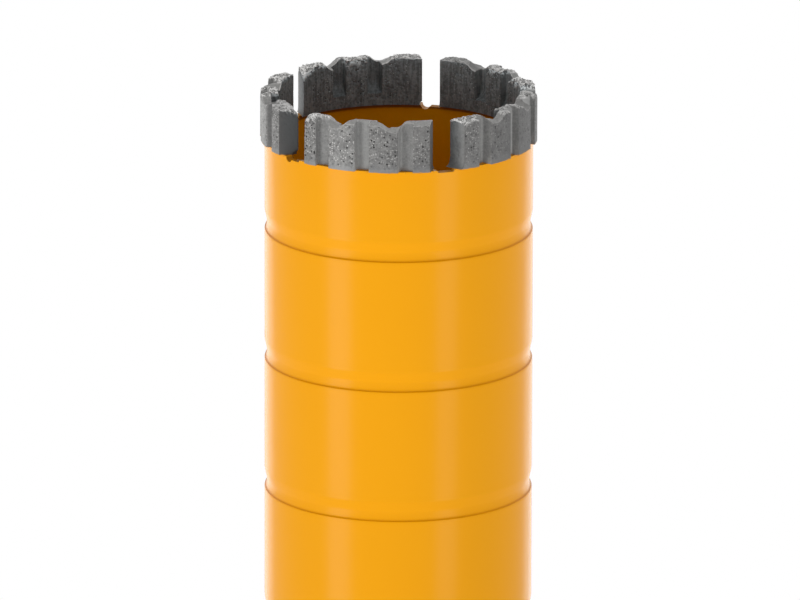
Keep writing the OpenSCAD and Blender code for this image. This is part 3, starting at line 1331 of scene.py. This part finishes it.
@dataclass
class Barrel:
    """Steel tube with ring marks, painted inside and out."""

    low: float
    rim: float
    outer_r: float
    wall: float = 2 * MM
    mark_first: float = 20.8 * MM
    mark_pitch: float = 30 * MM
    mark_depth: float = 0.5 * MM
    mark_floor: float = 2.1 * MM
    mark_ramp: float = 2.3 * MM
    lip: float = 4 * MM
    plate_end: float = 20 * MM
    soft: float = 0.2 * MM
    fillet: Profile = ((0.22 * MM, 0.03 * MM), (0.08 * MM, 0.14 * MM), (0.0, 0.36 * MM))
    around: int = 240
    slot_step: float = 0.12 * MM
    slot_steps: int = 26
    rim_rows: int = 5
    rim_drop: float = 1.2 * MM
    sharp: float = 40.0

    @classmethod
    def from_frame(cls) -> "Barrel":
        """Barrel with the place and the radius of its node."""
        low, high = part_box("barrel_tube")
        return cls(low=low.z, rim=high.z, outer_r=high.x)

    def mark_heights(self) -> list[float]:
        """Heights of the ring marks.

        Returns:
            Height of each mark's lower shoulder, from the bottom up.
        """
        first = self.rim - self.mark_first
        count = 1 + math.floor((first - self.low - self.lip) / self.mark_pitch)
        return [first - i * self.mark_pitch for i in reversed(range(count))]

    def outside(self) -> list[Pair]:
        """Profile of the outside, with its ring marks.

        Returns:
            Radius and height of each row, from the bottom up.
        """
        soft, high_r, floor_r = self.soft, self.outer_r, self.outer_r - self.mark_depth
        rows = [(high_r, self.low)]
        for z in self.mark_heights():
            end = z + self.mark_floor
            rows += [
                (high_r, z - 3 * soft),
                (high_r, z - soft),
                (high_r - 0.3 * soft, z - 0.3 * soft),
                (high_r - soft, z),
                *((floor_r + out, z + up) for out, up in self.fillet),
                (floor_r, end - soft),
                (floor_r + 0.22 * soft, end + soft),
                (high_r - 0.22 * soft, end + self.mark_ramp - soft),
                (high_r, end + self.mark_ramp + soft),
            ]
        rows.append((high_r, self.rim - self.rim_drop))
        return rows

    def turns(self, crown: Crown) -> list[float]:
        """Angles of the columns, which stand closer together at the water slots.

        Args:
            crown: Crown whose slots are let into the rim.

        Returns:
            Angles from -Y over one turn.
        """
        angles = {round(360 * i / self.around, 4) for i in range(self.around)}
        step = math.degrees(self.slot_step / self.outer_r)
        steps = range(-self.slot_steps, self.slot_steps + 1)
        for middle in crown.slot_angles():
            angles |= {round((middle + i * step) % 360, 4) for i in steps}
        return sorted(angles)

    def mesh(self, crown: Crown) -> bpy.types.Mesh:
        """Closed mesh of the tube, with the slots' round bottoms in its rim.

        Args:
            crown: Crown whose slots are let into the rim.

        Returns:
            The new mesh.
        """
        outside, turns = self.outside(), self.turns(crown)
        heights = (self.rim - self.rim_drop, self.low + self.plate_end, self.low)
        inside = [(self.outer_r - self.wall, z) for z in heights]
        points: list[Point] = []
        for turn in turns:
            points += [polar(r, turn, z) for r, z in outside]
            for i in range(self.rim_rows):
                r = self.outer_r - self.wall * i / (self.rim_rows - 1)
                points.append(polar(r, turn, self.rim - crown.sink(turn, r)))
            points += [polar(r, turn, z) for r, z in inside]
        count = len(outside) + self.rim_rows + len(inside)
        rows = [range(j, len(points), count) for j in range(count)]
        return new_mesh("barrel", points, bridged([*rows, rows[0]]))

    def build(self, crown: Crown, finish: bpy.types.Material) -> None:
        """Makes the barrel and sets it in the place of its node.

        Args:
            crown: Crown whose slots are let into the rim.
            finish: Its paint.
        """
        mesh = self.mesh(crown)
        shade(mesh, self.sharp)
        mesh.materials.append(finish)
        keep(new_piece("barrel", mesh), "barrel_paint", "barrel_tube")


class Lathe(Tool):
    """Carries a profile along a helix or a ring, and ripples it."""

    MERGE = 0.002 * MM

    def __init__(self) -> None:
        """Makes the tree, whose own inputs give a plain ring."""
        super().__init__(
            "lathe",
            Radius=10 * MM,
            Pitch=0.0,
            Turns=1.0,
            Steps=96,
            Start=0.0,
            Fade=0.0001,
            Ripples=0.0,
            Ripple_Depth=0.0,
        )
        sockets = {
            "Resolution": self.inputs["Steps"],
            "Rotations": self.inputs["Turns"],
            "Start Radius": self.inputs["Radius"],
            "End Radius": self.inputs["Radius"],
            "Height": self.inputs["Pitch"] * self.inputs["Turns"],
        }
        helix = self.value("GeometryNodeCurveSpiral", None, sockets)
        along = self.value("GeometryNodeSplineParameter")
        ends = self.math(Op.MINIMUM, along, 1.0 - along)
        fade = self.math(Op.MINIMUM, ends / self.inputs["Fade"], 1.0)
        beat = self.math(Op.FRACTION, along * self.inputs["Ripples"])
        swell = fade * (1.0 - beat * self.inputs["Ripple Depth"])
        upright = self.value("GeometryNodeSetCurveNormal", {"mode": "Z_UP"}, {0: helix})
        sized = self.value("GeometryNodeSetCurveRadius", None, {0: upright, "Radius": swell})
        profile = self.value("GeometryNodeMeshToCurve", None, {0: self.inputs["Geometry"]})
        sockets = {"Curve": sized, "Profile Curve": profile}
        swept = self.value("GeometryNodeCurveToMesh", None, sockets)
        lift = self.value("ShaderNodeCombineXYZ", None, {"Z": self.inputs["Start"]})
        sockets = {"Geometry": swept, "Offset": lift}
        moved = self.value("GeometryNodeSetPosition", None, sockets)
        sockets = {"Geometry": moved, "Distance": self.MERGE}
        self.close(self.value("GeometryNodeMergeByDistance", None, sockets))


@dataclass
class DriveEnd:
    """Coupling and end plate, with the thread and the weld that join the bit to its drill."""

    thread_r: float = 15.875 * MM
    thread_low: float = 1.5 * MM
    thread_high: float = 26 * MM
    thread_pitch: float = 25.4 / 7 * MM
    thread_depth: float = 1.95 * MM
    thread_root: float = 0.25 * MM
    thread_wide: float = 0.49
    thread_flat: float = 0.07
    thread_steps: int = 96
    thread_fade: float = 0.06
    weld_r: float = 24.1 * MM
    weld_z: float = 29.1 * MM
    weld_w: float = 2.6 * MM
    weld_rise: float = 0.9 * MM
    weld_sides: int = 14
    ripples: int = 96
    ripple_steps: int = 8
    ripple_depth: float = 0.14
    bare_past: float = 0.8 * MM
    bare_face: float = 0.6 * MM
    no_rim: float = 1.0
    sharp: float = 40.0

    def thread(self, lathe: Lathe, finish: bpy.types.Material) -> None:
        """Adds the coupling's thread, as a ridge on its wall.

        Args:
            lathe: Tool that carries its profile.
            finish: Bare steel.
        """
        pitch = self.thread_pitch
        turns = (self.thread_high - self.thread_low) / pitch - 1.0
        wide, flat = self.thread_wide * pitch, self.thread_flat * pitch
        half = [(wide, -self.thread_root), (wide, 0.0), (flat, self.thread_depth)]
        loop = half + [(-height, inward) for height, inward in reversed(half)]
        numbers = {
            "Radius": self.thread_r,
            "Pitch": pitch,
            "Turns": turns,
            "Steps": round(turns * self.thread_steps),
            "Start": self.thread_low + pitch / 2,
            "Fade": self.thread_fade,
        }
        self._sweep(lathe, "thread", loop, finish, **numbers)

    def weld(self, lathe: Lathe, finish: bpy.types.Material) -> None:
        """Lays the bead that joins the coupling to the plate.

        Args:
            lathe: Tool that carries its profile.
            finish: Its paint.
        """
        loop = []
        for i in range(self.weld_sides):
            turn = math.radians(360 * i / self.weld_sides)
            x, y = self.weld_w * math.cos(turn), self.weld_rise * math.sin(turn)
            loop.append(((x + y) * math.sqrt(0.5), (y - x) * math.sqrt(0.5)))
        numbers = {
            "Radius": self.weld_r,
            "Steps": self.ripples * self.ripple_steps,
            "Start": self.weld_z,
            "Ripples": float(self.ripples),
            "Ripple_Depth": self.ripple_depth,
        }
        self._sweep(lathe, "weld", loop, finish, **numbers)

    def _sweep(
        self,
        lathe: Lathe,
        name: str,
        loop: list[Pair],
        finish: bpy.types.Material,
        **numbers: float,
    ) -> None:
        """Sweeps a loop round the axis, and keeps the piece.

        Args:
            lathe: Tool that carries the loop.
            name: Name of the piece.
            loop: Height and inward distance of each corner.
            finish: Its material.
            numbers: Inputs of the tool.
        """
        edges = [(i, (i + 1) % len(loop)) for i in range(len(loop))]
        profile = new_mesh(name, [(x, y, 0.0) for x, y in loop], [], edges)
        piece = lathe.run(name, profile, finish, **numbers)
        shade(piece.data, self.sharp)
        keep(piece, "barrel_paint")

    def build(self, paint: Paint, steel: Steel) -> None:
        """Dresses the plate and the coupling, and adds the thread and the weld.

        Args:
            paint: Enamel of the outside.
            steel: Bare steel of the thread.
        """
        enamel = paint.barrel("plate_paint", self.no_rim, self.no_rim)
        bare_r = self.thread_r + self.bare_past
        half_bare = paint.coupling("coupling_paint", bare_r, self.bare_face)
        for name, finish in (("end_plate", enamel), ("coupling", half_bare)):
            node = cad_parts[name]
            node.data.materials.clear()
            node.data.materials.append(finish)
            LOG.info("%s: dressed", name)
        lathe = Lathe()
        self.thread(lathe, steel.thread("thread_steel"))
        self.weld(lathe, enamel)


@dataclass(frozen=True)
class Softbox:
    """Soft rectangular lamp that looks at the crown."""

    name: str
    azimuth: float
    elevation: float
    width: float
    height: float
    power: float
    distance: float = 1.2
    target: Point = (0.0, 0.0, 0.17)

    def hang(self) -> None:
        """Puts the lamp in the scene."""
        lamp = bpy.data.lights.new(self.name, "AREA")
        lamp.shape = "RECTANGLE"
        lamp.size, lamp.size_y, lamp.energy = self.width, self.height, self.power
        obj = bpy.data.objects.new(self.name, lamp)
        bpy.context.scene.collection.objects.link(obj)
        rise = math.radians(self.elevation)
        way = Vector(polar(math.cos(rise), self.azimuth, math.sin(rise)))
        obj.location = Vector(self.target) + way * self.distance
        obj.rotation_mode = "QUATERNION"
        obj.rotation_quaternion = way.to_track_quat("Z", "Y")
        obj.visible_camera = False


@dataclass
class Studio:
    """White surroundings, soft lamps, a pale floor and the camera."""

    sky_low: float = 1.1
    sky_high: float = 0.33
    horizon: Pair = (-0.1, 0.08)
    floor_r: float = 0.2
    floor_sides: int = 96
    floor_rings: int = 8
    floor_solid: float = 0.45
    floor_colour: Colour = (0.86, 0.86, 0.86)
    floor_glow: float = 0.5
    camera_at: Point = (0.0, -3.7695, 1.2415)
    camera_down: float = 15.881
    camera_aside: float = 0.005
    camera_roll: float = 0.128
    lens: float = 787.86
    sensor: float = 36.0
    clip: Pair = (0.1, 100.0)
    lamps: tuple[Softbox, ...] = (
        Softbox("left_lamp", -52, -8, 0.42, 0.9, 5.3),
        Softbox("right_lamp", 42, -8, 0.36, 0.9, 2.9),
        Softbox("left_back_lamp", -152, -4, 0.6, 0.8, 1.35),
        Softbox("right_back_lamp", 154, -4, 0.6, 0.8, 1.0),
    )

    def surroundings(self) -> None:
        """World that shows as white, and lights the bit softly from the sides."""
        world = bpy.data.worlds.new("studio")
        world.use_nodes = True
        world.node_tree.nodes.clear()
        graph = Graph(world.node_tree)
        rays = graph.add("ShaderNodeLightPath")
        camera, glossy, passed = (
            Value(graph, rays.outputs[f"Is {kind} Ray"])
            for kind in ("Camera", "Glossy", "Transmission")
        )
        shown = graph.math(Op.MAXIMUM, graph.math(Op.MAXIMUM, camera, glossy), passed)
        way = graph.value("ShaderNodeTexCoord", output="Generated")
        rise = graph.between(graph.axes(way)[2], *self.horizon)
        strength = self.sky_low + rise * (self.sky_high - self.sky_low)
        soft = graph.value("ShaderNodeBackground", None, {"Strength": strength, 0: (1, 1, 1, 1)})
        white = graph.value("ShaderNodeBackground", None, {"Strength": 1.0, 0: (1, 1, 1, 1)})
        mixed = graph.value("ShaderNodeMixShader", None, {0: shown, 1: soft, 2: white})
        graph.add("ShaderNodeOutputWorld", None, {0: mixed})
        bpy.context.scene.world = world

    def floor(self) -> None:
        """Pale disc under the bit, which fades into the white."""
        sides, count = self.floor_sides, self.floor_rings
        points: list[Point] = [(0.0, 0.0, 0.0)]
        for ring in range(1, count + 1):
            radius = self.floor_r * ring / count
            points += [polar(radius, 360 * i / sides, 0.0) for i in range(sides)]
        rings = [range(1 + ring * sides, 1 + (ring + 1) * sides) for ring in range(count)]
        faces = [[0, 1 + i, 1 + (i + 1) % sides] for i in range(sides)] + bridged(rings[::-1])
        skin = Surface("floor", Roughness=0.9, Specular_IOR_Level=0.0, Emission_Strength=1.0)
        skin.shader.inputs["Base Color"].default_value = (*self.floor_colour, 1.0)
        seen = skin.value("ShaderNodeLightPath", output="Is Camera Ray")
        skin.feed("Emission Color", skin.mix(seen, (0, 0, 0), (self.floor_glow,) * 3))
        away = skin.radius(skin.place)
        skin.feed("Alpha", skin.between(away, self.floor_r, self.floor_solid * self.floor_r))
        mesh = new_mesh("floor", points, faces)
        mesh.materials.append(skin.material)
        new_piece("floor", mesh)

    def camera(self) -> None:
        """Camera at the photograph's viewing angle."""
        data = bpy.data.cameras.new("camera")
        data.lens, data.sensor_width = self.lens, self.sensor
        data.clip_start, data.clip_end = self.clip
        turns = (self.camera_down, self.camera_aside, self.camera_roll)
        down, aside, roll = map(math.radians, turns)
        right = Vector((math.cos(aside), -math.sin(aside), 0.0))
        level = Vector((math.sin(aside), math.cos(aside), 0.0))
        ahead = level * math.cos(down) - Vector((0.0, 0.0, math.sin(down)))
        up = right.cross(ahead)
        x = right * math.cos(roll) + up * math.sin(roll)
        y = up * math.cos(roll) - right * math.sin(roll)
        obj = bpy.data.objects.new("camera", data)
        bpy.context.scene.collection.objects.link(obj)
        turn = Matrix((x, y, -ahead)).transposed().to_4x4()
        obj.matrix_world = Matrix.Translation(self.camera_at) @ turn
        bpy.context.scene.camera = obj

    def build(self) -> None:
        """Puts the studio in the scene."""
        self.surroundings()
        self.floor()
        for lamp in self.lamps:
            lamp.hang()
        self.camera()
        bpy.context.scene.view_settings.view_transform = "Standard"
        LOG.info("studio: %d lamps", len(self.lamps))


def worn_segments(crown: Crown) -> list[Segment]:
    """The five segments, each with its own ends, its own wear, and its own painted shade and
    light.

    Args:
        crown: Crown that they make up.

    Returns:
        The segments, from the front one round towards +X.
    """
    small, plain = End(toe=0.3 * MM), End()
    round_end = End(worn=0.55 * MM, chip_in=0.8 * MM, chip_out=1.0 * MM)
    wide_foot = End(toe=1.05 * MM, shade=0.45, chip_in=0.3 * MM, chip_out=0.5 * MM)
    short_end = End(toe=0.3 * MM, worn=1.0 * MM, chip_in=1.9 * MM, chip_out=0.3 * MM, reach=5 * MM)
    sloped_end = End(shade=1.0, chip_in=1.7 * MM, chip_out=0.3 * MM, reach=4 * MM)
    return [
        Segment(
            crown, 1, round_end, End(toe=0.3 * MM, shade=0.75),
            grit=((0, 1.4),),
            torn=((-15, 0.85), (-9, 0.25), (24, 0.1)),
            hang=((-22, 3.5), (-14, 1.0)),
            pads=((-25, 0.03), (-10, -0.13), (8, 0.18), (25, 0.36)),
            flutes=((-18, -0.05), (0, -0.25), (18, -0.05)),
            walls=(-0.3, 0.2),
            drift=1.8,
        ),
        Segment(
            crown, 2, wide_foot, plain,
            grit=((-15, 1.25), (-9, 0.7), (9, 0.55)),
            torn=((-12, 0.85), (-8, 0.7), (12, 0.8), (18, 1.0)),
            pads=((-25, 0.36), (-10, 0.6), (8, 0.7), (25, 0.7)),
            flutes=((-18, -0.15), (0, -0.45), (18, -0.5)),
            walls=(0.1, -0.08),
            tops=((-9, 0.05), (9, 0.3)),
        ),
        Segment(
            crown, 3, small, small,
            grit=((0, 0.9),),
            torn=((-14, 1.5), (-9, 1.1), (9, 1.0), (14, 0.6)),
            hang=((-9, 2.5), (9, 2.0), (20, 1.0)),
            hollows=((0, -0.2),),
            tops=((-14, 0.1), (0, 0.2), (14, 0.45)),
        ),
        Segment(
            crown, 4, plain, short_end,
            torn=((-14, 1.0), (9, 1.0), (14, 1.6)),
            hang=((-22, 1.0), (-14, 2.5), (4, 3.5), (10, 1.0), (16, 1.5)),
            deeper=0.25 * MM,
        ),
        Segment(
            crown, 5, small, sloped_end,
            torn=((-14, 1.3), (8, 1.2), (14, 0.75)),
            hang=((-9, 1.0), (9, 2.0)),
            pads=((-9, -0.25), (8, -0.25), (22, 0.0)),
            tops=((4, 0.0), (16, 0.25)),
        ),
    ]


def main() -> None:
    """Builds the bit and its studio."""
    logging.basicConfig(level=logging.INFO, format="%(name)s: %(message)s")
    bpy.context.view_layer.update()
    crown, sinter, paint = Crown.from_frame(), Sinter(), Paint()
    barrel = Barrel.from_frame()
    barrel.build(crown, paint.barrel("barrel_paint", barrel.rim, barrel.outer_r))
    skin, finish = SinterSkin(sinter), sinter.material("segment_metal", crown.rim)
    for segment in worn_segments(crown):
        segment.build(skin, finish)
    DriveEnd().build(paint, Steel())
    Studio().build()


if __name__ == "__main__":
    main()
